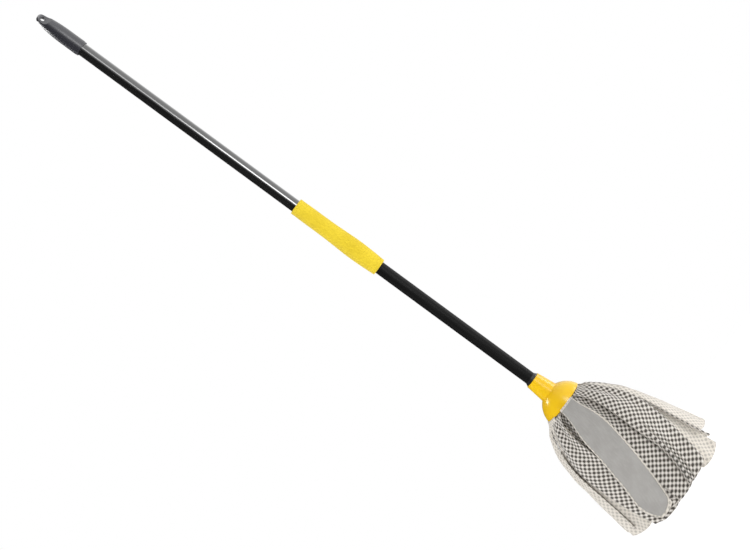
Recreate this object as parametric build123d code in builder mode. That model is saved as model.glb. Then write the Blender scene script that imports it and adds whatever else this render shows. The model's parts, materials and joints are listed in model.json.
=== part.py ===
from build123d import *
from math import cos, radians, sin, tan
import os

os.makedirs("parts", exist_ok=True)

# A hanging cloth-strip mop: two-piece tube handle with a hanger cap and a foam grip, and a
# screw-on bell socket that clamps two rings of cloth strips. Millimetres, +Z up along the
# handle, origin at the centre of the hang hole, whose axis is +Y. The head hangs at the bottom.

# Handle lengths, from the top down
cap_length = 93.0
hole_from_tip = 9.5
upper_bare_length = 449.0
grip_length = 175.0
lower_bare_length = 316.0
flange_thickness = 5.5

# Handle sections
tube_od = 22.0
tube_wall = 0.8
foam_thickness = 4.0
foam_end_round = 1.6
foam_fit = 0.05
plug_fit = 0.1

# Hanger cap
cap_wall = 2.5
cap_fit = 0.1
cap_tube_depth = 55.0
cap_nose_length = 62.0
cap_tip_r = 4.0
cap_nose_r = 9.9
cap_nose_drop = 12.4
cap_tip_slope = -0.45
cap_lip = 0.5
cap_lip_height = 4.0
hole_r = 4.5
tab_thickness = 5.0
scoop_r = 18.0

# Tube connector, between the two tubes inside the grip
connector_length = 120.0
connector_bore_r = 6.0
collar_thickness = 2.0

# Thread tip, 3/4 inch with five turns to the inch
thread_major_r = 9.525
thread_root_r = 7.9
thread_pitch = 5.08
thread_turns = 4.5
thread_sink = 0.4
stud_length = 30.0
spigot_length = 40.0
spigot_bore_r = 5.0
stud_floor = 4.0
stud_chamfer = 1.0
flange_lip = 2.0
flange_cone = 4.0
thread_clearance = 0.25
thread_runout_turns = 3

# Socket: neck and bell
neck_length = 35.0
neck_rim = 1.7
neck_flare = 3.9
bell_height = 30.0
bell_mouth_r = 41.0
bell_shoulder = 1.0
bell_bulge = 4.0
bell_wall = 2.6
bell_rim_round = 1.0
boss_wall = 3.2
boss_bore_gap = 0.2
neck_foot = 1.0
tap_lead = 1.0
retainer_fit = 0.1

# Retainer under the bell
retainer_thickness = 4.0
retainer_above_mouth = 2.0
retainer_boss_gap = 0.5
stem_length = 18.0
stem_end_gap = 1.0
retainer_edge_gap = 9.0
bead_height = 0.5
bead_length = 2.0
bead_from_top = 4.0
bead_gap = 0.3
retainer_round = 1.2

# Clamped cloth
hub_top_gap = 10.0
hub_boss_gap = 0.5
hub_bell_gap = 1.0
hub_rim_gap = 0.5
hub_reach = 3.0
hub_drop = 3.5
hub_under = 8.0
hub_lower_in = 2.0
hub_top_in = 11.0
hub_edge_gap = 1.0

# Cloth strips, in an outer and an inner ring
strips_per_ring = 8
strip_thickness = 2.4
strip_root_width = 24.0
strip_width = 50.0
strip_length = 240.0
widening_drop = 120.0
scrub_strip_width = 56.0
scrub_widening_drop = 70.0
sway = 7.0
strip_sector = 84.0
front_azimuth = -132.0
root_lean = 40.0
tip_lean = 9.0
bend_radius = 230.0
outer_hinge_out = 4.7
outer_hinge_drop = 4.0
inner_hinge_in = 7.5
inner_hinge_drop = 8.0
inner_root_gap = 4.3

# Scrub layers, on two opposite outer strips
scrub_thickness = 0.8
scrub_border = 2.5
scrub_top_gap = 8.0

# Levels
tube_r = tube_od / 2
tube_bore_r = tube_r - tube_wall
tip_z = hole_from_tip
cap_mouth_z = tip_z - cap_length
tube_top_z = cap_mouth_z + cap_tube_depth
grip_top_z = cap_mouth_z - upper_bare_length
split_z = grip_top_z - grip_length / 2
flange_top_z = grip_top_z - grip_length - lower_bare_length
neck_top_z = flange_top_z - flange_thickness
bell_top_z = neck_top_z - neck_length
mouth_z = bell_top_z - bell_height


def finish(piece, name):
    piece.label = name
    export_step(piece, f"parts/{name}.step")


# Hanger cap: a bullet-nosed sleeve whose tip is scooped on two sides to a flat tab
cap_r = tube_r + cap_wall
shoulder_z = tip_z - cap_nose_length

with BuildPart() as hanger_cap:
    with BuildSketch(Plane.XZ):
        with BuildLine():
            side = Line((cap_r, shoulder_z), (cap_r, cap_mouth_z + cap_lip_height))
            lip = Line(side @ 1, (cap_r - cap_lip, cap_mouth_z + cap_lip_height))
            Polyline(
                lip @ 1,
                (cap_r - cap_lip, cap_mouth_z),
                (0, cap_mouth_z),
                (0, tip_z),
                (cap_tip_r, tip_z),
            )
            Spline(
                (cap_tip_r, tip_z),
                (cap_nose_r, tip_z - cap_nose_drop),
                (cap_r, shoulder_z),
                tangents=[(1, cap_tip_slope), (0, -1)],
            )
        make_face()
    revolve(axis=Axis.Z)
    with BuildSketch(Plane.YZ):
        with Locations((tab_thickness / 2 + scoop_r, 0), (-tab_thickness / 2 - scoop_r, 0)):
            Circle(scoop_r)
    extrude(amount=2 * cap_r, both=True, mode=Mode.SUBTRACT)
    with BuildSketch(Plane.XZ):
        Circle(hole_r)
    extrude(amount=tab_thickness, both=True, mode=Mode.SUBTRACT)
    with BuildSketch(Plane.XY.offset(cap_mouth_z)):
        Circle(tube_r + cap_fit)
    extrude(amount=cap_tube_depth, mode=Mode.SUBTRACT)
finish(hanger_cap.part, "hanger_cap")


# Tubes: the upper one from inside the cap to the connector's collar, the lower one from there down
def tube(top_z, bottom_z):
    with BuildPart() as body:
        with BuildSketch(Plane.XY.offset(bottom_z)):
            Circle(tube_r)
            Circle(tube_bore_r, mode=Mode.SUBTRACT)
        extrude(amount=top_z - bottom_z)
    return body.part


finish(tube(tube_top_z, split_z + collar_thickness / 2), "upper_tube")
finish(tube(split_z - collar_thickness / 2, flange_top_z), "lower_tube")


# Tube connector: a hollow plug with a collar that parts the tube ends
with BuildPart() as tube_connector:
    with BuildSketch(Plane.XY.offset(split_z)):
        Circle(tube_bore_r - plug_fit)
    extrude(amount=connector_length / 2, both=True)
    with BuildSketch(Plane.XY.offset(split_z)):
        Circle(tube_r)
    extrude(amount=collar_thickness / 2, both=True)
    with BuildSketch(Plane.XY.offset(split_z)):
        Circle(connector_bore_r)
    extrude(amount=connector_length / 2, both=True, mode=Mode.SUBTRACT)
finish(tube_connector.part, "tube_connector")


# Foam grip: a sleeve over both tubes
with BuildPart() as foam_grip:
    with BuildSketch(Plane.XY.offset(grip_top_z - grip_length)):
        Circle(tube_r + foam_thickness)
    extrude(amount=grip_length)
    fillet(foam_grip.edges().filter_by(GeomType.CIRCLE), radius=foam_end_round)
    with BuildSketch(Plane.XY.offset(grip_top_z - grip_length)):
        Circle(tube_r + foam_fit)
    extrude(amount=grip_length, mode=Mode.SUBTRACT)
finish(foam_grip.part, "foam_grip")


# Screw thread: a tapered ridge swept along a helix, sunk a little into its core
def thread_ridge(start_z, turns, height_r, root_width, crest_width):
    with BuildPart() as ridge:
        with BuildLine():
            coil = Helix(
                pitch=thread_pitch,
                height=turns * thread_pitch,
                radius=thread_root_r,
                center=(0, 0, start_z),
            )
        with BuildSketch(Plane(origin=coil @ 0, x_dir=(1, 0, 0), z_dir=coil % 0)):
            with BuildLine():
                Polyline(
                    (-thread_sink, -root_width / 2),
                    (0, -root_width / 2),
                    (height_r, -crest_width / 2),
                    (height_r, crest_width / 2),
                    (0, root_width / 2),
                    (-thread_sink, root_width / 2),
                    close=True,
                )
            make_face()
        sweep(path=coil, is_frenet=True)
    return ridge.part


thread_depth = thread_major_r - thread_root_r
ridge_root_width = 0.55 * thread_pitch
ridge_crest_width = 0.25 * thread_pitch
stud_end_z = neck_top_z - stud_length
ridge_start_z = stud_end_z + thread_pitch / 2
male_thread = thread_ridge(
    ridge_start_z, thread_turns, thread_depth, ridge_root_width, ridge_crest_width
)
female_thread = thread_ridge(
    ridge_start_z - thread_pitch,
    thread_turns + thread_runout_turns,
    thread_depth + thread_clearance,
    ridge_root_width + 2 * thread_clearance,
    ridge_crest_width + 2 * thread_clearance,
)

# Thread tip: spigot in the lower tube, a flange against the socket, and the threaded stud
flange_r = tube_r + flange_lip
with BuildPart() as thread_tip:
    with BuildSketch(Plane.XZ):
        with BuildLine():
            Polyline(
                (0, flange_top_z + spigot_length),
                (tube_bore_r - plug_fit, flange_top_z + spigot_length),
                (tube_bore_r - plug_fit, flange_top_z),
                (tube_r, flange_top_z),
                (flange_r, flange_top_z - flange_cone),
                (flange_r, neck_top_z),
                (thread_root_r, neck_top_z),
                (thread_root_r, stud_end_z + stud_chamfer),
                (thread_root_r - stud_chamfer, stud_end_z),
                (0, stud_end_z),
                close=True,
            )
        make_face()
    revolve(axis=Axis.Z)
    add(male_thread)
    with BuildSketch(Plane.XY.offset(flange_top_z + spigot_length)):
        Circle(spigot_bore_r)
    extrude(amount=-(spigot_length + flange_thickness + stud_length - stud_floor), mode=Mode.SUBTRACT)
finish(thread_tip.part, "thread_tip")


# Socket: flared neck and elliptical bell, with a boss inside that carries the retainer
neck_top_r = flange_r + neck_rim
neck_bottom_r = neck_top_r + neck_flare
bell_top_r = neck_bottom_r + bell_shoulder
boss_bore_r = thread_major_r + thread_clearance + boss_bore_gap
boss_r = boss_bore_r + boss_wall
retainer_top_z = mouth_z + retainer_above_mouth
retainer_r = bell_mouth_r - bell_wall - retainer_edge_gap
stem_top_z = retainer_top_z + stem_length
bead_z = stem_top_z - bead_from_top
boss_end_z = retainer_top_z + retainer_boss_gap
inner_bell_r = bell_mouth_r - bell_wall

with BuildPart() as tap:
    with BuildSketch(Plane.XY.offset(boss_end_z - tap_lead)):
        Circle(thread_root_r + thread_clearance)
    extrude(amount=neck_top_z - boss_end_z + stud_length)
    add(female_thread)

with BuildPart() as socket:
    with BuildSketch(Plane.XY.offset(bell_top_z - neck_foot)):
        Circle(neck_bottom_r)
    extrude(amount=neck_foot)
    with BuildSketch(Plane.XY.offset(bell_top_z)):
        Circle(neck_bottom_r)
    with BuildSketch(Plane.XY.offset(neck_top_z)):
        Circle(neck_top_r)
    loft()
    with BuildSketch(Plane.XZ):
        with BuildLine():
            outer_arc = SagittaArc((bell_top_r, bell_top_z), (bell_mouth_r, mouth_z), bell_bulge)
            inner_arc = SagittaArc((bell_top_r, bell_top_z - bell_wall), (inner_bell_r, mouth_z), bell_bulge)
            Line(outer_arc @ 1, inner_arc @ 1)
            Polyline(outer_arc @ 0, (0, bell_top_z), (0, bell_top_z - bell_wall), inner_arc @ 0)
        make_face()
    revolve(axis=Axis.Z)
    fillet(socket.edges().group_by(Axis.Z)[0], radius=bell_rim_round)
    with BuildSketch(Plane.XY.offset(boss_end_z)):
        Circle(boss_r)
    extrude(amount=bell_top_z - boss_end_z)
    add(tap.part, mode=Mode.SUBTRACT)
    with BuildSketch(Plane.XY.offset(boss_end_z)):
        Circle(boss_bore_r)
    extrude(amount=stem_length + stem_end_gap, mode=Mode.SUBTRACT)
    with BuildSketch(Plane.XY.offset(bead_z - bead_length / 2 - bead_gap)):
        Circle(boss_bore_r + bead_height)
    extrude(amount=bead_length + 2 * bead_gap, mode=Mode.SUBTRACT)
finish(socket.part, "socket")

# Retainer: a plate below the clamped cloth, with a stem that snaps into the socket's boss
stem_r = boss_bore_r - retainer_fit
with BuildPart() as retainer:
    with BuildSketch(Plane.XZ):
        with BuildLine():
            Polyline(
                (0, retainer_top_z - retainer_thickness),
                (retainer_r, retainer_top_z - retainer_thickness),
                (retainer_r, retainer_top_z),
                (stem_r, retainer_top_z),
                (stem_r, bead_z - bead_length / 2),
                (stem_r + bead_height, bead_z),
                (stem_r, bead_z + bead_length / 2),
                (stem_r, stem_top_z),
                (0, stem_top_z),
                close=True,
            )
        make_face()
    revolve(axis=Axis.Z)
    rims = retainer.edges().filter_by(GeomType.CIRCLE)
    fillet(rims.group_by(SortBy.RADIUS)[-1], radius=retainer_round)
finish(retainer.part, "retainer")

# Cloth hub: the folded middles of all the strips, clamped in a ring inside the bell
outer_hinge_r = bell_mouth_r + outer_hinge_out
outer_hinge_z = mouth_z - outer_hinge_drop
inner_hinge_r = outer_hinge_r - inner_hinge_in
inner_hinge_z = outer_hinge_z - inner_hinge_drop
inner_pitch = 2 * (inner_hinge_r - strip_thickness / 2) * sin(radians(180 / strips_per_ring))
inner_root_width = inner_pitch - inner_root_gap
hub_inner_r = boss_r + hub_boss_gap
hub_lip_r = bell_mouth_r + hub_reach
hub_top_r = inner_bell_r - hub_top_in

with BuildPart() as cloth_hub:
    with BuildSketch(Plane.XZ):
        with BuildLine():
            Polyline(
                (hub_inner_r, retainer_top_z),
                (hub_inner_r, bell_top_z - hub_top_gap),
                (hub_top_r, bell_top_z - hub_top_gap),
                (inner_bell_r - hub_bell_gap, mouth_z - hub_rim_gap),
                (hub_lip_r, mouth_z - hub_drop),
                (inner_hinge_r - hub_lower_in, mouth_z - hub_under),
                (retainer_r + hub_edge_gap, retainer_top_z - retainer_thickness),
                (retainer_r + hub_edge_gap, retainer_top_z),
                close=True,
            )
        make_face()
    revolve(axis=Axis.Z)
finish(cloth_hub.part, "cloth_hub")


# Cloth strips: each leaves its hinge leaning outward, bends down on one arc and hangs straight,
# curved round the handle's axis and swaying to one side. A layer lies between two offsets from
# the strip's middle surface, and is inset from its edges.
def strip_layer(azimuth, hinge_r, hinge_z, low_offset, high_offset, planform):
    lean = radians(root_lean)
    arc_centre = (hinge_r - bend_radius * cos(lean), hinge_z - bend_radius * sin(lean))
    bend = root_lean - tip_lean
    straight = strip_length - bend_radius * radians(bend)
    down = Vector(sin(radians(tip_lean)), -cos(radians(tip_lean))) * straight
    start = radians(azimuth - strip_sector / 2)
    start_plane = Plane(
        origin=(0, 0, 0), x_dir=(cos(start), sin(start), 0), z_dir=(sin(start), -cos(start), 0)
    )
    turn = radians(azimuth)
    face_plane = Plane(
        origin=(0, 0, 0), x_dir=(-sin(turn), cos(turn), 0), z_dir=(cos(turn), sin(turn), 0)
    )
    root_width, width, widening, inset, top_gap = planform
    top = hinge_z + strip_thickness - top_gap
    wide_z = hinge_z - widening
    bottom = hinge_z - strip_length
    wide_shift = widening * tan(radians(sway))
    bottom_shift = strip_length * tan(radians(sway))
    root = root_width / 2 - inset
    full = width / 2 - inset
    with BuildPart() as layer:
        with BuildSketch(start_plane):
            with BuildLine():
                high = CenterArc(arc_centre, bend_radius + high_offset, root_lean, -bend)
                low = CenterArc(arc_centre, bend_radius + low_offset, root_lean, -bend)
                Polyline(high @ 1, high @ 1 + down, low @ 1 + down, low @ 1)
                if top_gap:
                    Line(low @ 0, high @ 0)
                else:
                    behind = Vector(-sin(lean), cos(lean)) * (strip_thickness / 2)
                    ThreePointArc(low @ 0, Vector(hinge_r, hinge_z) + behind, high @ 0)
            make_face()
        revolve(axis=Axis.Z, revolution_arc=strip_sector)
        with BuildSketch(face_plane):
            with BuildLine():
                Polyline(
                    (-root, top),
                    (root, top),
                    (full - wide_shift, wide_z),
                    (full - bottom_shift, bottom),
                    (-full - bottom_shift, bottom),
                    (-full - wide_shift, wide_z),
                    close=True,
                )
            make_face()
        extrude(amount=hinge_r + strip_length, mode=Mode.INTERSECT)
    return layer.part


half = strip_thickness / 2
plain = (strip_root_width, strip_width, widening_drop, 0, 0)
plain_inner = (inner_root_width, strip_width, widening_drop, 0, 0)
scrubbed = (strip_root_width, scrub_strip_width, scrub_widening_drop, 0, 0)
scrub = (strip_root_width, scrub_strip_width, scrub_widening_drop, scrub_border, scrub_top_gap)
scrub_numbers = (1, 1 + strips_per_ring // 2)
for number in range(1, strips_per_ring + 1):
    azimuth = front_azimuth + (number - 1) * 360 / strips_per_ring
    planform = scrubbed if number in scrub_numbers else plain
    outer = strip_layer(azimuth, outer_hinge_r, outer_hinge_z, -half, half, planform)
    finish(outer, f"outer_strip_{number}")
    if number in scrub_numbers:
        pile = strip_layer(azimuth, outer_hinge_r, outer_hinge_z, half, half + scrub_thickness, scrub)
        finish(pile, f"scrub_layer_{number}")
    azimuth += 180 / strips_per_ring
    inner = strip_layer(azimuth, inner_hinge_r, inner_hinge_z, -half, half, plain_inner)
    finish(inner, f"inner_strip_{number}")
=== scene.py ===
import json
from math import asin, cos, pi, radians, sin

import bpy
from mathutils import Matrix, Vector, noise


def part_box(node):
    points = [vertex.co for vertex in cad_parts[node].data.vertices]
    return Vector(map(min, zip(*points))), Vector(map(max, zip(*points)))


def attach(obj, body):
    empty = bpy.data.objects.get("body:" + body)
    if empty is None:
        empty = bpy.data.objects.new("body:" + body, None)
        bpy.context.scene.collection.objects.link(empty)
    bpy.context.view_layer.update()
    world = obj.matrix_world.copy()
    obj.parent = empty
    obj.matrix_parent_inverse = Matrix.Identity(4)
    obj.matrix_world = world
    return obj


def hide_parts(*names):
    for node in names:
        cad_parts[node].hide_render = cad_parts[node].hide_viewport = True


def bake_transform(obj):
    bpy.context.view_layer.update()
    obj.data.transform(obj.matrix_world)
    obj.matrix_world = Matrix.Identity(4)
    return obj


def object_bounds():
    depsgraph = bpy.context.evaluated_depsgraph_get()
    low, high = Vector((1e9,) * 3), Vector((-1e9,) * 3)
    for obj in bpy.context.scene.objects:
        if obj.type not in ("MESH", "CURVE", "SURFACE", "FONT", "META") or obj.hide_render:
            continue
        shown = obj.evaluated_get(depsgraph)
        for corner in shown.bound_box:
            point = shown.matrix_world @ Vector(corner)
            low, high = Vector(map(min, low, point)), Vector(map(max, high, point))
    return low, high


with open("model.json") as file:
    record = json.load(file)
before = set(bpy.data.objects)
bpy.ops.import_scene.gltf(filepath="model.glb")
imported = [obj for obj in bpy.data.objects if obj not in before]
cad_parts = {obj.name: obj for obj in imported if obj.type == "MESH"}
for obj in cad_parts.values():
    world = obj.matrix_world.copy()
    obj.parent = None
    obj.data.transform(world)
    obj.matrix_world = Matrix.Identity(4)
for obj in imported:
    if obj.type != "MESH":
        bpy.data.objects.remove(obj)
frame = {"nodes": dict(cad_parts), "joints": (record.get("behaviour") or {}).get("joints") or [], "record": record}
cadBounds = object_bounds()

# A hanging cloth strip mop. Metres, the handle along Z, the hang hole at the origin.
print("stage: frame loaded,", len(frame["nodes"]), "nodes")


# ---- shader helpers
class Wire:  # a shader value that takes Python arithmetic
    def __init__(self, paint, socket):
        self.paint = paint
        self.socket = socket

    def out(self, name):
        return Wire(self.paint, self.socket.node.outputs[name])

    def __add__(self, other):
        return self.paint.sum("ADD", self, other)

    def __sub__(self, other):
        return self.paint.sum("SUBTRACT", self, other)

    def __rsub__(self, other):
        return self.paint.sum("SUBTRACT", other, self)

    def __mul__(self, other):
        return self.paint.sum("MULTIPLY", self, other)

    def __truediv__(self, other):
        return self.paint.sum("DIVIDE", self, other)

    def __pow__(self, other):
        return self.paint.sum("POWER", self, other)

    def __mod__(self, other):
        return self.paint.sum("FLOORED_MODULO", self, other)

    def __abs__(self):
        return self.paint.sum("ABSOLUTE", self)

    __radd__ = __add__

    def ramp(self, low, high):  # 0 below low, 1 above high, smooth between
        sockets = {"Value": self, "From Min": low, "From Max": high}
        return self.paint.node("MapRange", {"interpolation_type": "SMOOTHSTEP"}, sockets)


class Paint:  # one material and its node tree
    def __init__(self, name):
        self.material = bpy.data.materials.new(name)
        self.material.use_nodes = True
        self.tree = self.material.node_tree
        self.tree.nodes.clear()

    def node(self, kind, settings=None, sockets=None):
        made = self.tree.nodes.new("ShaderNode" + kind)
        for key, value in (settings or {}).items():
            setattr(made, key, value)
        for key, value in (sockets or {}).items():
            if isinstance(value, Wire):
                self.tree.links.new(value.socket, made.inputs[key])
            else:
                made.inputs[key].default_value = value
        shown = [o for o in made.outputs if o.enabled]
        return Wire(self, shown[0] if shown else None)

    def sum(self, operation, *values):
        return self.node("Math", {"operation": operation}, dict(enumerate(values)))

    def blend(self, factor, low, high):  # low and high are colours
        return self.node("Mix", {"data_type": "RGBA"}, {0: factor, 6: low, 7: high})

    def noise(self, vector, scale, detail=3.0, roughness=0.5):
        sockets = {"Vector": vector, "Scale": scale, "Detail": detail, "Roughness": roughness}
        return self.node("TexNoise", {}, sockets)

    def bump(self, height, strength, distance):
        return self.node("Bump", {}, {"Height": height, "Strength": strength, "Distance": distance})

    def stretched(self, vector, scales):
        return self.node("Mapping", {}, {"Vector": vector, "Scale": scales})

    def place(self):
        return self.node("TexCoord").out("Object")

    def finish(self, **sockets):
        named = {key.replace("_", " "): value for key, value in sockets.items()}
        shader = self.node("BsdfPrincipled", {}, named)
        self.node("OutputMaterial", {}, {"Surface": shader})
        return self.material


def grey(level):
    return (level, level, level, 1.0)


# ---- finishes
def lacquerFinish(name, look):
    paint = Paint(name)
    place = paint.place()
    streaks = paint.noise(paint.stretched(place, (60, 60, 4)), 4.0, 3.0)
    specks = paint.noise(place, look["speckScale"], 2.0)
    colour = paint.blend(streaks.ramp(0.35, 0.75), look["dark"], look["light"])
    rough = look["rough"] + (streaks - 0.5) * look["roughSpread"] + specks.ramp(0.62, 0.75) * 0.05
    return paint.finish(
        Base_Color=colour,
        Roughness=rough,
        Normal=paint.bump(specks, look["bump"], 0.0004),
        Specular_IOR_Level=look["specular"],
        Coat_Weight=look["coat"],
        Coat_Roughness=look["coatRough"],
    )


def mouldedFinish(name, look):
    paint = Paint(name)
    place = paint.place()
    grain = paint.noise(place, look["grainScale"], 4.0, 0.6)
    flow = paint.noise(paint.stretched(place, (1, 1, 0.35)), 28.0, 3.0)
    scuff = paint.noise(paint.stretched(place, (1, 1, 0.2)), 160.0, 5.0, 0.7).ramp(0.63, 0.72)
    colour = paint.blend(flow.ramp(0.3, 0.7), look["dark"], look["light"])
    rough = look["rough"] + (flow - 0.5) * 0.08 + scuff * look["scuff"]
    return paint.finish(
        Base_Color=colour,
        Roughness=rough,
        Normal=paint.bump(grain + scuff * 0.4, look["bump"], 0.0003),
        Specular_IOR_Level=look["specular"],
        Coat_Weight=look["coat"],
        Coat_Roughness=look["coatRough"],
        Subsurface_Weight=look["glow"],
        Subsurface_Radius=(0.004, 0.003, 0.001),
        Subsurface_Scale=0.5,
    )


def foamFinish(name, look):
    paint = Paint(name)
    place = paint.place()
    cells = paint.node("TexVoronoi", {"feature": "F1"}, {"Vector": place, "Scale": look["cellScale"]})
    fine = paint.noise(place, 1800.0, 3.0)
    soil = paint.noise(place, 22.0, 4.0)
    colour = paint.blend(soil.ramp(0.35, 0.75), look["light"], look["dark"])
    # painted shade: the foam is darkened towards the pore colour where the bump sinks between the cells
    speckled = paint.blend(cells.ramp(0.45, 0.8) * 0.35, colour, look["poreShade"])
    return paint.finish(
        Base_Color=speckled,
        Roughness=look["rough"] + fine * 0.1,
        Normal=paint.bump(cells * -0.6 + fine * 0.5, look["bump"], 0.0005),
        Sheen_Weight=look["sheen"],
        Sheen_Roughness=0.5,
        Specular_IOR_Level=0.25,
    )


def clothFinish(name, look):
    paint = Paint(name)
    flat = paint.node("UVMap", {"uv_map": "flat"})
    front = paint.node("Attribute", {"attribute_name": "printed"}).out("Fac")
    wander = paint.noise(flat, 90.0, 2.0).out("Color")
    nudged = paint.node(
        "VectorMath", {"operation": "MULTIPLY_ADD"}, {0: wander, 1: (0.0012, 0.0012, 0), 2: flat}
    )
    parts = paint.node("SeparateXYZ", {}, {"Vector": nudged})
    across = parts.out("X") / look["cell"]
    along = parts.out("Y") / look["cell"]
    column = paint.sum("FLOOR", across)
    row = paint.sum("FLOOR", along)
    checked = (column + row) % 2
    sideX = abs(across - column - 0.5)
    sideY = abs(along - row - 0.5)
    square = (sideX ** 4 + sideY ** 4) ** 0.25
    fibre = paint.noise(paint.stretched(flat, (1, 0.3, 1)), 1500.0, 3.0, 0.6)
    ink = (1 - (square + (fibre - 0.5) * 0.12).ramp(look["dotSize"] - 0.05, look["dotSize"] + 0.04)) * checked
    pearl = (1 - (square + (fibre - 0.5) * 0.12).ramp(0.26, 0.4)) * (1 - checked)
    damp = paint.noise(flat, 14.0, 4.0)
    ground = paint.blend(damp.ramp(0.3, 0.75), look["ground"], look["groundDark"])
    withPearl = paint.blend(pearl * 0.85, ground, look["pearl"])
    printed = paint.blend(ink * (0.8 + fibre * 0.25), withPearl, look["ink"])
    back = paint.blend(damp.ramp(0.3, 0.8), look["pale"], look["paleDark"])
    ghost = paint.blend(ink * look["ghost"], back, look["ink"])
    colour = paint.blend(front.ramp(0.3, 0.7), ghost, printed)
    tufts = paint.noise(flat, 420.0, 4.0, 0.6)
    height = fibre * 0.5 + tufts * 0.6 - ink * 0.25
    return paint.finish(
        Base_Color=colour,
        Roughness=0.86 + tufts * 0.12,
        Normal=paint.bump(height, look["bump"], 0.0009),
        Sheen_Weight=look["sheen"],
        Sheen_Roughness=0.6,
        Specular_IOR_Level=0.2,
    )


def scrubFinish(name, look):
    paint = Paint(name)
    flat = paint.node("UVMap", {"uv_map": "flat"})
    pile = paint.noise(flat, 1300.0, 3.0, 0.6)
    ribs = paint.noise(paint.stretched(flat, (1, 0.16, 1)), 420.0, 4.0, 0.7)
    patches = paint.noise(flat, 38.0, 4.0)
    colour = paint.blend(patches.ramp(0.3, 0.7), look["dark"], look["light"])
    speckled = paint.blend(ribs.ramp(0.45, 0.75) * 0.4, colour, look["tip"])
    return paint.finish(
        Base_Color=speckled,
        Roughness=0.9 + pile * 0.08,
        Normal=paint.bump(pile * 0.6 + ribs * 0.6 + patches * 0.3, look["bump"], 0.0008),
        Sheen_Weight=look["sheen"],
        Sheen_Roughness=0.4,
        Specular_IOR_Level=0.2,
    )


finishes = {
    "gloss_black_tube": lacquerFinish("glossBlackLacquer", {
        "dark": grey(0.005), "light": grey(0.008), "rough": 0.16, "roughSpread": 0.04, "speckScale": 900.0,
        "bump": 0.01, "specular": 1.0, "coat": 1.0, "coatRough": 0.1,
    }),
    "satin_black_tube": lacquerFinish("satinBlackCoating", {
        "dark": grey(0.006), "light": grey(0.009), "rough": 0.45, "roughSpread": 0.06, "speckScale": 1500.0,
        "bump": 0.08, "specular": 0.08, "coat": 0.0, "coatRough": 0.3,
    }),
    "cap_plastic": mouldedFinish("darkCapPlastic", {
        "dark": (0.018, 0.018, 0.023, 1), "light": (0.026, 0.026, 0.033, 1), "rough": 0.33, "scuff": 0.12,
        "grainScale": 1600.0, "bump": 0.05, "specular": 0.9, "coat": 0.0, "coatRough": 0.3, "glow": 0.0,
    }),
    "black_plastic": mouldedFinish("blackTipPlastic", {
        "dark": grey(0.008), "light": grey(0.014), "rough": 0.4, "scuff": 0.1,
        "grainScale": 1400.0, "bump": 0.12, "specular": 0.45, "coat": 0.0, "coatRough": 0.3, "glow": 0.0,
    }),
    "yellow_plastic": mouldedFinish("glossYellowPlastic", {
        "dark": (0.76, 0.45, 0.006, 1), "light": (0.81, 0.515, 0.009, 1), "rough": 0.24, "scuff": 0.08,
        "grainScale": 700.0, "bump": 0.06, "specular": 0.3, "coat": 0.15, "coatRough": 0.12, "glow": 0.05,
    }),
    "yellow_plastic_satin": mouldedFinish("satinYellowPlastic", {
        "dark": (0.74, 0.44, 0.006, 1), "light": (0.79, 0.50, 0.009, 1), "rough": 0.42, "scuff": 0.1,
        "grainScale": 1100.0, "bump": 0.12, "specular": 0.45, "coat": 0.0, "coatRough": 0.3, "glow": 0.03,
    }),
    "inner_plastic": mouldedFinish("plainInnerPlastic", {
        "dark": grey(0.38), "light": grey(0.46), "rough": 0.5, "scuff": 0.05,
        "grainScale": 1100.0, "bump": 0.1, "specular": 0.45, "coat": 0.0, "coatRough": 0.3, "glow": 0.0,
    }),
    "yellow_foam": foamFinish("lemonFoam", {
        # the darkest yellow here is painted shade for the pits of the foam
        "light": (0.76, 0.575, 0.030, 1), "dark": (0.69, 0.51, 0.022, 1), "poreShade": (0.45, 0.31, 0.010, 1),
        "rough": 0.82, "cellScale": 1300.0, "bump": 0.5, "sheen": 0.12,
    }),
    "printed_cloth": clothFinish("checkedCloth", {
        "cell": 0.0049, "dotSize": 0.44, "ground": (0.46, 0.43, 0.39, 1), "groundDark": (0.38, 0.35, 0.31, 1),
        "pearl": (0.74, 0.71, 0.67, 1), "ink": (0.036, 0.030, 0.025, 1), "pale": (0.70, 0.655, 0.59, 1),
        "paleDark": (0.60, 0.56, 0.495, 1), "ghost": 0.36, "bump": 0.35, "sheen": 0.2,
    }),
    "scrub_cloth": scrubFinish("greyScrubPile", {
        "dark": (0.315, 0.305, 0.29, 1), "light": (0.35, 0.34, 0.325, 1), "tip": (0.42, 0.41, 0.39, 1),
        "bump": 0.4, "sheen": 0.15,
    }),
}

slotOf = {part["node"]: part["material_slot"] for part in frame["record"]["subparts"]}
for node, thing in frame["nodes"].items():
    thing.data.materials.clear()
    thing.data.materials.append(finishes[slotOf[node]])
print("stage: finishes made")


# ---- cloth strips
def smooth(value):
    value = min(max(value, 0.0), 1.0)
    return value * value * (3 - 2 * value)


cloth = {
    "length": 0.240, "rootWidth": 0.028, "rootLean": 40, "tipLean": 9, "bendRadius": 0.230,
    "outerTuck": 0.016, "outerTuckLean": 84, "innerTuck": 0.009, "innerTuckLean": 38,
    "thickness": 0.0012, "roundEnd": 0.005, "fray": 0.014, "frayPerMetre": 60, "wideningPace": 0.92,
    "foldStart": 0.07, "turnStart": 0.09, "blendAbove": 0.006, "blendBelow": 0.022,
    "acrossSteps": 34, "alongSteps": 84,
}
plainStrip = {
    "width": 0.050, "widening": 0.11, "longer": 0.0, "skew": 0.0, "flipped": False,
    "phase": 0.0, "turn": 0.0, "sway": (0.0, -0.02), "lift": 0.0, "flare": 0.0, "curl": 0.0,
    "pleat": 0.003, "fold": 0.0025, "narrowFold": 0.0, "narrowCount": 5, "narrowEdge": 0.0,
}

hinges = {}
for joint in frame["joints"]:
    spot = Vector(joint["pos_m"])
    hinges[joint["child"]] = {"r": spot.xy.length, "z": spot.z, "outward": spot.xy.normalized()}


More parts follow.
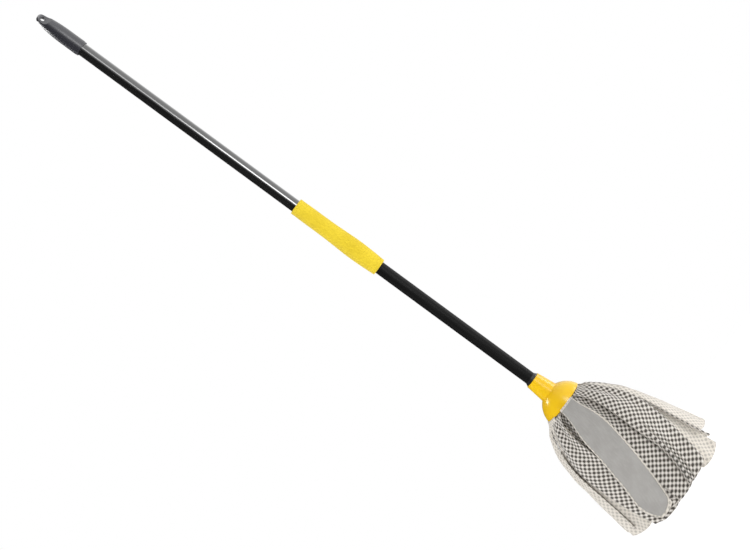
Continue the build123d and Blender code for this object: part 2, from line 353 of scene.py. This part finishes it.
def tuckOf(name):
    ring = "outer" if name.startswith("outer") else "inner"
    return cloth[ring + "Tuck"], radians(cloth[ring + "TuckLean"])


def centreLine(name, along):  # distance from the hinge to radius and height gained, and the lean there
    lean = radians(cloth["rootLean"])
    tip = radians(cloth["tipLean"])
    radius = cloth["bendRadius"]
    bend = radius * (lean - tip)
    if along < 0:
        tuck, back = tuckOf(name)
        mean = lean + (back - lean) * smooth(-2.2 * along / tuck)
        return along * sin(mean), -along * cos(mean), mean
    here = lean - min(along, bend) / radius
    out = radius * (cos(here) - cos(lean))
    down = radius * (sin(lean) - sin(here))
    rest = max(along - bend, 0.0)
    return out + rest * sin(tip), -down - rest * cos(tip), here


def clothPoint(name, own, along, across, lift):
    hinge = hinges[name]
    side = 1 if name.startswith("outer") else -1  # folds stand outward on the outer ring, inward within
    out, rise, lean = centreLine(name, along)
    share = max(along, 0.0) / cloth["length"]
    phase = own["phase"]
    widened = smooth(max(along, 0.0) / own["widening"] * cloth["wideningPace"])
    half = (cloth["rootWidth"] + (own["width"] - cloth["rootWidth"]) * widened) / 2
    # long soft folds, narrow pleats that deepen towards the end, and the gathers at the root
    gather = smooth((along + 0.001) / 0.022) * (1 - smooth(along / 0.12))
    pleats = own["pleat"] * gather * (cos(pi * 1.6 * across + phase) + side)
    wander = 1.4 * noise.noise(Vector((share * 1.7, phase, 0.3)))
    folds = own["fold"] * (sin(pi * 1.15 * across + phase + 3.2 * share + wander) + side)
    folds *= smooth(along / cloth["foldStart"])
    slope = 0.0
    narrow = 0.0
    if own["narrowFold"]:
        grown = own["narrowFold"] * smooth((share - 0.30) / 0.6)
        where = smooth(0.5 - own["narrowEdge"] * across * 0.9)
        turns = pi * own["narrowCount"]
        narrow = grown * where * (sin(turns * across + phase + wander) + side)
        slope = grown * where * turns / half
    creases = 0.0012 * noise.noise(Vector((across * 2.6, share * 8, phase + 4.0)))
    creases += 0.0028 * noise.noise(Vector((across * 0.9, share * 2.6, phase * 3 + 1.7)))
    curl = own["curl"] * smooth((share - 0.78) / 0.22) * (0.35 + 0.65 * across * across)
    depth = pleats + folds + narrow + creases * smooth(along / 0.03) + curl
    depth += own["flare"] * share * share + own["lift"] + lift
    turn = radians(own["turn"] * smooth(along / cloth["turnStart"]))
    packed = 1 / (1 + slope * slope / 2) ** 0.5
    sideways = half * across * cos(turn) * packed
    depth += half * (across * sin(turn) + side * abs(sin(turn)))
    r = hinge["r"] + out + depth * cos(lean)
    z = hinge["z"] + rise + depth * sin(lean)
    shift = own["sway"][0] * share + own["sway"][1] * share * share
    angle = asin(max(min((sideways + shift) / (hinge["r"] + out), 0.95), -0.95))
    outward = hinge["outward"]
    over = Vector((-outward.y, outward.x))
    flat = outward * cos(angle) + over * sin(angle)
    return Vector((flat.x * r, flat.y * r, z))


def clothSheet(name, body, own, start, end, border, lift, roundEnd, thickness):
    acrossSteps, alongSteps = cloth["acrossSteps"], cloth["alongSteps"]
    widthShare = 1 - 2 * border / own["width"]
    rows = []
    for i in range(alongSteps + 1):
        row = []
        for j in range(acrossSteps + 1):
            across = (-1 + 2 * j / acrossSteps) * widthShare
            stop = end + own["longer"] - roundEnd * abs(across) ** 3 + own["skew"] * max(-across, 0) ** 1.3
            along = start + (stop - start) * i / alongSteps
            ragged = noise.noise(Vector((along * cloth["frayPerMetre"], across, own["phase"])))
            fray = 1 + cloth["fray"] * ragged
            row.append((clothPoint(body, own, along, across * fray, lift), across, along))
        rows.append(row)

    def normalAt(i, j):
        up = rows[max(i - 1, 0)][j][0] - rows[min(i + 1, alongSteps)][j][0]
        over = rows[i][min(j + 1, acrossSteps)][0] - rows[i][max(j - 1, 0)][0]
        return over.cross(up).normalized()

    points, uvs, sides = [], [], []
    for layer in (0.5, -0.5):
        for i in range(alongSteps + 1):
            for j in range(acrossSteps + 1):
                spot, across, along = rows[i][j]
                points.append(spot + normalAt(i, j) * thickness * layer)
                uvs.append((across * own["width"] / 2, along))
                sides.append(1.0 if (layer > 0) != own["flipped"] else 0.0)
    across1 = acrossSteps + 1
    back = across1 * (alongSteps + 1)
    faces = []
    for i in range(alongSteps):
        for j in range(acrossSteps):
            a = i * across1 + j
            faces.append((a, a + across1, a + across1 + 1, a + 1))
            faces.append((back + a, back + a + 1, back + a + across1 + 1, back + a + across1))
    rim = [(0, j) for j in range(acrossSteps)] + [(i, acrossSteps) for i in range(alongSteps)]
    rim += [(alongSteps, j) for j in range(acrossSteps, 0, -1)] + [(i, 0) for i in range(alongSteps, 0, -1)]
    for k, (i, j) in enumerate(rim):
        nextI, nextJ = rim[(k + 1) % len(rim)]
        a, b = i * across1 + j, nextI * across1 + nextJ
        faces.append((a, b, back + b, back + a))
    mesh = bpy.data.meshes.new(name)
    mesh.from_pydata(points, [], faces)
    layerUv = mesh.uv_layers.new(name="flat")
    for loop in mesh.loops:
        layerUv.data[loop.index].uv = uvs[loop.vertex_index]
    printed = mesh.attributes.new("printed", "FLOAT", "POINT")
    printed.data.foreach_set("value", sides)
    mesh.shade_smooth()
    piece = bpy.data.objects.new(name, mesh)
    bpy.context.collection.objects.link(piece)
    return piece


def hang(piece, slot, node):
    piece.data.materials.append(finishes[slot])
    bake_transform(piece)
    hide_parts(node)


ownShapes = {
    "outer_strip_1": {"width": 0.051, "widening": 0.07, "sway": (-0.014, -0.038), "lift": 0.004,
                      "fold": 0.0004, "pleat": 0.0006, "skew": -0.030, "curl": 0.002, "flipped": True},
    "inner_strip_1": {"phase": 2.7, "width": 0.052, "sway": (0.004, -0.050), "lift": 0.0072, "turn": -3,
                      "fold": 0.0012, "longer": -0.002},
    "outer_strip_2": {"phase": 1.1, "width": 0.052, "turn": 8, "sway": (-0.008, -0.050), "narrowFold": 0.003,
                      "narrowEdge": 1.0, "narrowCount": 6, "fold": 0.0014, "longer": 0.002},
    "inner_strip_2": {"phase": 0.2, "width": 0.052, "turn": 14, "sway": (-0.044, 0.006), "lift": 0.004,
                      "flipped": True, "fold": 0.002, "longer": 0.004},
    "outer_strip_3": {"phase": 2.3, "turn": 2, "sway": (-0.034, 0.0), "lift": -0.005, "flipped": True,
                      "flare": 0.011, "longer": -0.022, "fold": 0.001, "pleat": 0.0015},
    "inner_strip_3": {"phase": 5.8, "turn": 6, "sway": (-0.012, 0.0), "lift": 0.005, "longer": -0.002,
                      "fold": 0.002, "narrowFold": 0.002},
    "outer_strip_4": {"phase": 3.0, "turn": -6, "sway": (0.0, -0.024), "curl": 0.003, "longer": -0.006},
    "inner_strip_4": {"phase": 4.0, "turn": -6, "lift": 0.006, "longer": -0.004},
    "outer_strip_5": {"width": 0.057, "widening": 0.07, "phase": 4.4, "lift": 0.003, "fold": 0.0006,
                      "pleat": 0.0006, "skew": -0.016, "sway": (-0.006, -0.016), "flipped": True},
    "inner_strip_5": {"phase": 3.4, "turn": 6, "lift": 0.006, "narrowFold": 0.002},
    "outer_strip_6": {"phase": 5.2, "turn": 4, "width": 0.056, "longer": 0.004, "sway": (0.0, -0.004),
                      "narrowFold": 0.0026, "narrowEdge": -1.0},
    "inner_strip_6": {"phase": 1.5, "turn": -8, "lift": 0.005, "flipped": True, "longer": 0.003},
    "outer_strip_7": {"phase": 0.7, "width": 0.056, "turn": -2, "sway": (0.026, 0.0), "flare": -0.006,
                      "flipped": True, "longer": -0.014, "fold": 0.0012, "pleat": 0.002},
    "inner_strip_7": {"phase": 2.0, "width": 0.058, "turn": -12, "lift": 0.011, "sway": (0.014, 0.004),
                      "flipped": True, "longer": -0.010},
    "outer_strip_8": {"phase": 1.9, "turn": -6, "sway": (0.0, 0.042), "flare": -0.002, "longer": 0.003,
                      "fold": 0.0008},
    "inner_strip_8": {"phase": 0.9, "turn": -3, "sway": (0.0, 0.002), "lift": 0.005, "longer": 0.0},
}
for body, changes in ownShapes.items():
    own = {**plainStrip, **changes}
    tuck = tuckOf(body)[0]
    strip = clothSheet(body + "_cloth", body, own, -tuck, cloth["length"], 0.0, 0.0,
                       cloth["roundEnd"], cloth["thickness"])
    hang(strip, "printed_cloth", body)

scrub = {
    "border": 0.0028, "start": 0.001, "shorter": 0.004, "thickness": 0.0016, "roundEnd": 0.016,
    "clearOfCloth": 0.0002,
}
for body, node in (("outer_strip_1", "scrub_layer_1"), ("outer_strip_5", "scrub_layer_5")):
    own = {**plainStrip, **ownShapes[body]}
    lift = (cloth["thickness"] + scrub["thickness"]) / 2 + scrub["clearOfCloth"]
    layer = clothSheet(node + "_pile", body, own, scrub["start"], cloth["length"] - scrub["shorter"],
                       scrub["border"], lift, scrub["roundEnd"], scrub["thickness"])
    hang(layer, "scrub_cloth", node)
print("stage: cloth strips hung")


# ---- gathered middles of the strips, clamped round the retainer
gathered = {
    "pleats": 44, "depth": 0.0011, "thickness": 0.0011, "aroundSteps": 264, "gatheredFrom": 1.25,
    "outline": [  # beyond the retainer's rim, and below the bell's mouth
        (0.0012, -0.0022), (0.0030, -0.0060), (0.0056, -0.0084),
        (0.0078, -0.0060), (0.0083, -0.0032), (0.0083, -0.0010),
    ],
    "stepsPerSide": 4, "roundings": 3, "uvHeight": 0.02,
}
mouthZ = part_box("socket")[0][2]
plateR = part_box("retainer")[1][0]
outline = [Vector((plateR + out, rise)) for out, rise in gathered["outline"]]


def gatheredRing():
    path = []
    for k in range(len(outline) - 1):
        for step in range(gathered["stepsPerSide"]):
            path.append(outline[k].lerp(outline[k + 1], step / gathered["stepsPerSide"]))
    path.append(outline[-1])
    for _ in range(gathered["roundings"]):
        path[1:-1] = [(path[k - 1] + path[k] * 2 + path[k + 1]) / 4 for k in range(1, len(path) - 1)]
    points, uvs = [], []
    around = gathered["aroundSteps"]
    for k, (r, z) in enumerate(path):
        share = k / (len(path) - 1)
        for step in range(around):
            angle = 2 * pi * step / around
            wave = cos(gathered["pleats"] * angle + 1.5 * noise.noise(Vector((angle * 2, share, 3.0))))
            depth = gathered["depth"] * wave * sin(pi * share)
            points.append(((r + depth) * cos(angle), (r + depth) * sin(angle), mouthZ + z + depth * 0.5))
            uvs.append((angle * plateR * gathered["gatheredFrom"], share * gathered["uvHeight"]))
    faces = []
    for k in range(len(path) - 1):
        for step in range(around):
            a, b = k * around + step, k * around + (step + 1) % around
            faces.append((a, b, b + around, a + around))
    mesh = bpy.data.meshes.new("gathered_cloth")
    mesh.from_pydata(points, [], faces)
    layerUv = mesh.uv_layers.new(name="flat")
    for loop in mesh.loops:
        layerUv.data[loop.index].uv = uvs[loop.vertex_index]
    mesh.attributes.new("printed", "FLOAT", "POINT")
    mesh.shade_smooth()
    ring = bpy.data.objects.new("gathered_cloth", mesh)
    bpy.context.collection.objects.link(ring)
    return ring, sum((path[k + 1] - path[k]).length for k in range(len(path) - 1))


def applyAll(piece):
    bpy.ops.object.select_all(action="DESELECT")
    bpy.context.view_layer.objects.active = piece
    piece.select_set(True)
    for modifier in list(piece.modifiers):
        bpy.ops.object.modifier_apply(modifier=modifier.name)


ring, ringDepth = gatheredRing()
wall = ring.modifiers.new("wall", "SOLIDIFY")
wall.thickness = gathered["thickness"]
wall.offset = 0.0
applyAll(ring)
ring.data.materials.append(finishes["printed_cloth"])
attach(ring, "mop")
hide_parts("cloth_hub")


# ---- foam grip
grip = {"rings": 22, "swell": 0.0006, "endRound": 0.0016, "wave": 0.00022}


def foamSleeve():
    low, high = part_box("foam_grip")
    radius = high[0]
    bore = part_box("upper_tube")[1][0] + 0.0001
    depth = high[2] - low[2]
    bpy.ops.object.select_all(action="DESELECT")
    bpy.ops.mesh.primitive_cylinder_add(
        vertices=96, radius=radius, depth=depth, end_fill_type="NOTHING",
        location=(0, 0, (low[2] + high[2]) / 2),
    )
    sleeve = bpy.context.object
    sleeve.name = "foam_sleeve"
    bpy.ops.object.transform_apply(location=True, rotation=True, scale=True)
    bpy.ops.object.mode_set(mode="EDIT")
    for k in range(1, grip["rings"]):
        level = low[2] + depth * k / grip["rings"]
        bpy.ops.mesh.select_all(action="SELECT")
        bpy.ops.mesh.bisect(plane_co=(0, 0, level), plane_no=(0, 0, 1))
        share = 1 - k / grip["rings"]  # 0 at the upper end, where the sleeve is slimmer
        grown = 1 + (grip["swell"] * (share - 0.5) + grip["wave"] * sin(9.0 * share)) / radius
        bpy.ops.transform.resize(value=(grown, grown, 1), center_override=(0, 0, level))
    bpy.ops.object.mode_set(mode="OBJECT")
    wall = sleeve.modifiers.new("wall", "SOLIDIFY")
    wall.thickness = radius - bore
    wall.offset = -1.0
    ends = sleeve.modifiers.new("ends", "BEVEL")
    ends.width = grip["endRound"]
    ends.segments = 4
    ends.limit_method = "ANGLE"
    ends.angle_limit = radians(50)
    applyAll(sleeve)
    bpy.ops.object.shade_smooth_by_angle(angle=radians(50))
    return sleeve


sleeve = foamSleeve()
sleeve.data.materials.clear()
sleeve.data.materials.append(finishes["yellow_foam"])
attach(sleeve, "mop")
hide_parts("foam_grip")
print("stage: gathered cloth and foam grip made")


# ---- floor, light and camera
front = hinges["outer_strip_1"]["outward"]
toCamera = Vector((front.x, front.y, 0))
rightward = Vector((-front.y, front.x, 0))
upward = Vector((0, 0, 1))

view = {"distance": 3.1, "span": 1.269, "aside": 0.0145, "roll": 53.7, "belowTop": 0.7186}
middle = Vector((0, 0, cadBounds[1][2] - view["belowTop"]))
turnOver = radians(view["roll"])
cameraRight = rightward * cos(turnOver) - upward * sin(turnOver)
cameraUp = rightward * sin(turnOver) + upward * cos(turnOver)
camera = bpy.data.objects.new("camera", bpy.data.cameras.new("camera"))
bpy.context.collection.objects.link(camera)
camera.data.lens = camera.data.sensor_width * view["distance"] / view["span"]
camera.matrix_world = Matrix.Translation(
    middle - rightward * view["aside"] + toCamera * view["distance"]
) @ Matrix((cameraRight, cameraUp, toCamera)).transposed().to_4x4()
bpy.context.scene.camera = camera

ground = {"radius": 3.0, "below": 0.45, "glow": 0.55}
bpy.ops.object.select_all(action="DESELECT")
bpy.ops.mesh.primitive_circle_add(
    vertices=96, radius=ground["radius"], fill_type="NGON", location=(0, 0, cadBounds[0][2] - ground["below"])
)
floor = bpy.context.object
floor.name = "floor"
paint = Paint("paleFloor")
floor.data.materials.append(paint.finish(
    Base_Color=grey(0.9), Roughness=0.8, Emission_Color=grey(1.0), Emission_Strength=ground["glow"],
))


head = Vector((0, 0, cadBounds[0][2] + 0.2))
top = Vector((0, 0, cadBounds[1][2] - 0.25))
lights = {  # from: to the right of the aim, towards the camera, and up
    "keyBox": {"aim": head, "from": (0.8, 1.7, 0.75), "size": (0.6, 0.6), "power": 8, "inGloss": True},
    "fillBox": {"aim": head, "from": (-1.3, 1.5, 1.1), "size": (0.5, 0.5), "power": 6, "inGloss": False},
    "leftBox": {"aim": head, "from": (-1.8, 0.2, 0.0), "size": (0.9, 0.9), "power": 8, "inGloss": False},
    "rightBox": {"aim": head, "from": (1.8, -0.1, 0.0), "size": (0.9, 0.9), "power": 12, "inGloss": True},
    "sparkBox": {"aim": head, "from": (-0.93, -0.63, 1.66), "size": (0.4, 0.4), "power": 8, "inGloss": True},
    "tubeBox": {"aim": top, "from": (0.6, 1.36, 0.0), "size": (0.4, 1.4), "power": 6, "inGloss": True},
}
for name, light in lights.items():
    right, ahead, up = light["from"]
    spot = light["aim"] + rightward * right + toCamera * ahead + upward * up
    lamp = bpy.data.objects.new(name, bpy.data.lights.new(name, "AREA"))
    bpy.context.collection.objects.link(lamp)
    lamp.data.shape = "RECTANGLE"
    lamp.data.size = light["size"][0]
    lamp.data.size_y = light["size"][1]
    lamp.data.energy = light["power"]
    lamp.visible_glossy = light["inGloss"]
    lamp.location = spot
    lamp.rotation_euler = (light["aim"] - spot).to_track_quat("-Z", "Y").to_euler()

studio = {  # white to the eye, even for cloth, and in gloss dark on the left and bright on the right
    "seen": 1.0, "evenly": 0.50, "glossLeft": 0.04, "glossRight": 1.5, "turnsFrom": -0.2, "turnsTo": 0.6,
}
world = bpy.data.worlds.new("studio")
bpy.context.scene.world = world
world.use_nodes = True
tree = world.node_tree
tree.nodes.clear()


def backdrop(strength):
    made = tree.nodes.new("ShaderNodeBackground")
    made.inputs["Color"].default_value = grey(1.0)
    made.inputs["Strength"].default_value = strength
    return made


def either(factor, low, high):
    made = tree.nodes.new("ShaderNodeMixShader")
    tree.links.new(factor, made.inputs["Fac"])
    tree.links.new(low.outputs[0], made.inputs[1])
    tree.links.new(high.outputs[0], made.inputs[2])
    return made


ray = tree.nodes.new("ShaderNodeLightPath")
where = tree.nodes.new("ShaderNodeTexCoord")
rightness = tree.nodes.new("ShaderNodeVectorMath")
rightness.operation = "DOT_PRODUCT"
rightness.inputs[1].default_value = rightward
tree.links.new(where.outputs["Generated"], rightness.inputs[0])
slope = tree.nodes.new("ShaderNodeMapRange")
slope.inputs["From Min"].default_value = studio["turnsFrom"]
slope.inputs["From Max"].default_value = studio["turnsTo"]
tree.links.new(rightness.outputs["Value"], slope.inputs["Value"])
gloss = either(slope.outputs["Result"], backdrop(studio["glossLeft"]), backdrop(studio["glossRight"]))
unseen = either(ray.outputs["Is Glossy Ray"], backdrop(studio["evenly"]), gloss)
sky = tree.nodes.new("ShaderNodeOutputWorld")
everything = either(ray.outputs["Is Camera Ray"], unseen, backdrop(studio["seen"]))
tree.links.new(everything.outputs[0], sky.inputs["Surface"])
bpy.context.scene.view_settings.view_transform = "Standard"
print("stage: light and camera set")
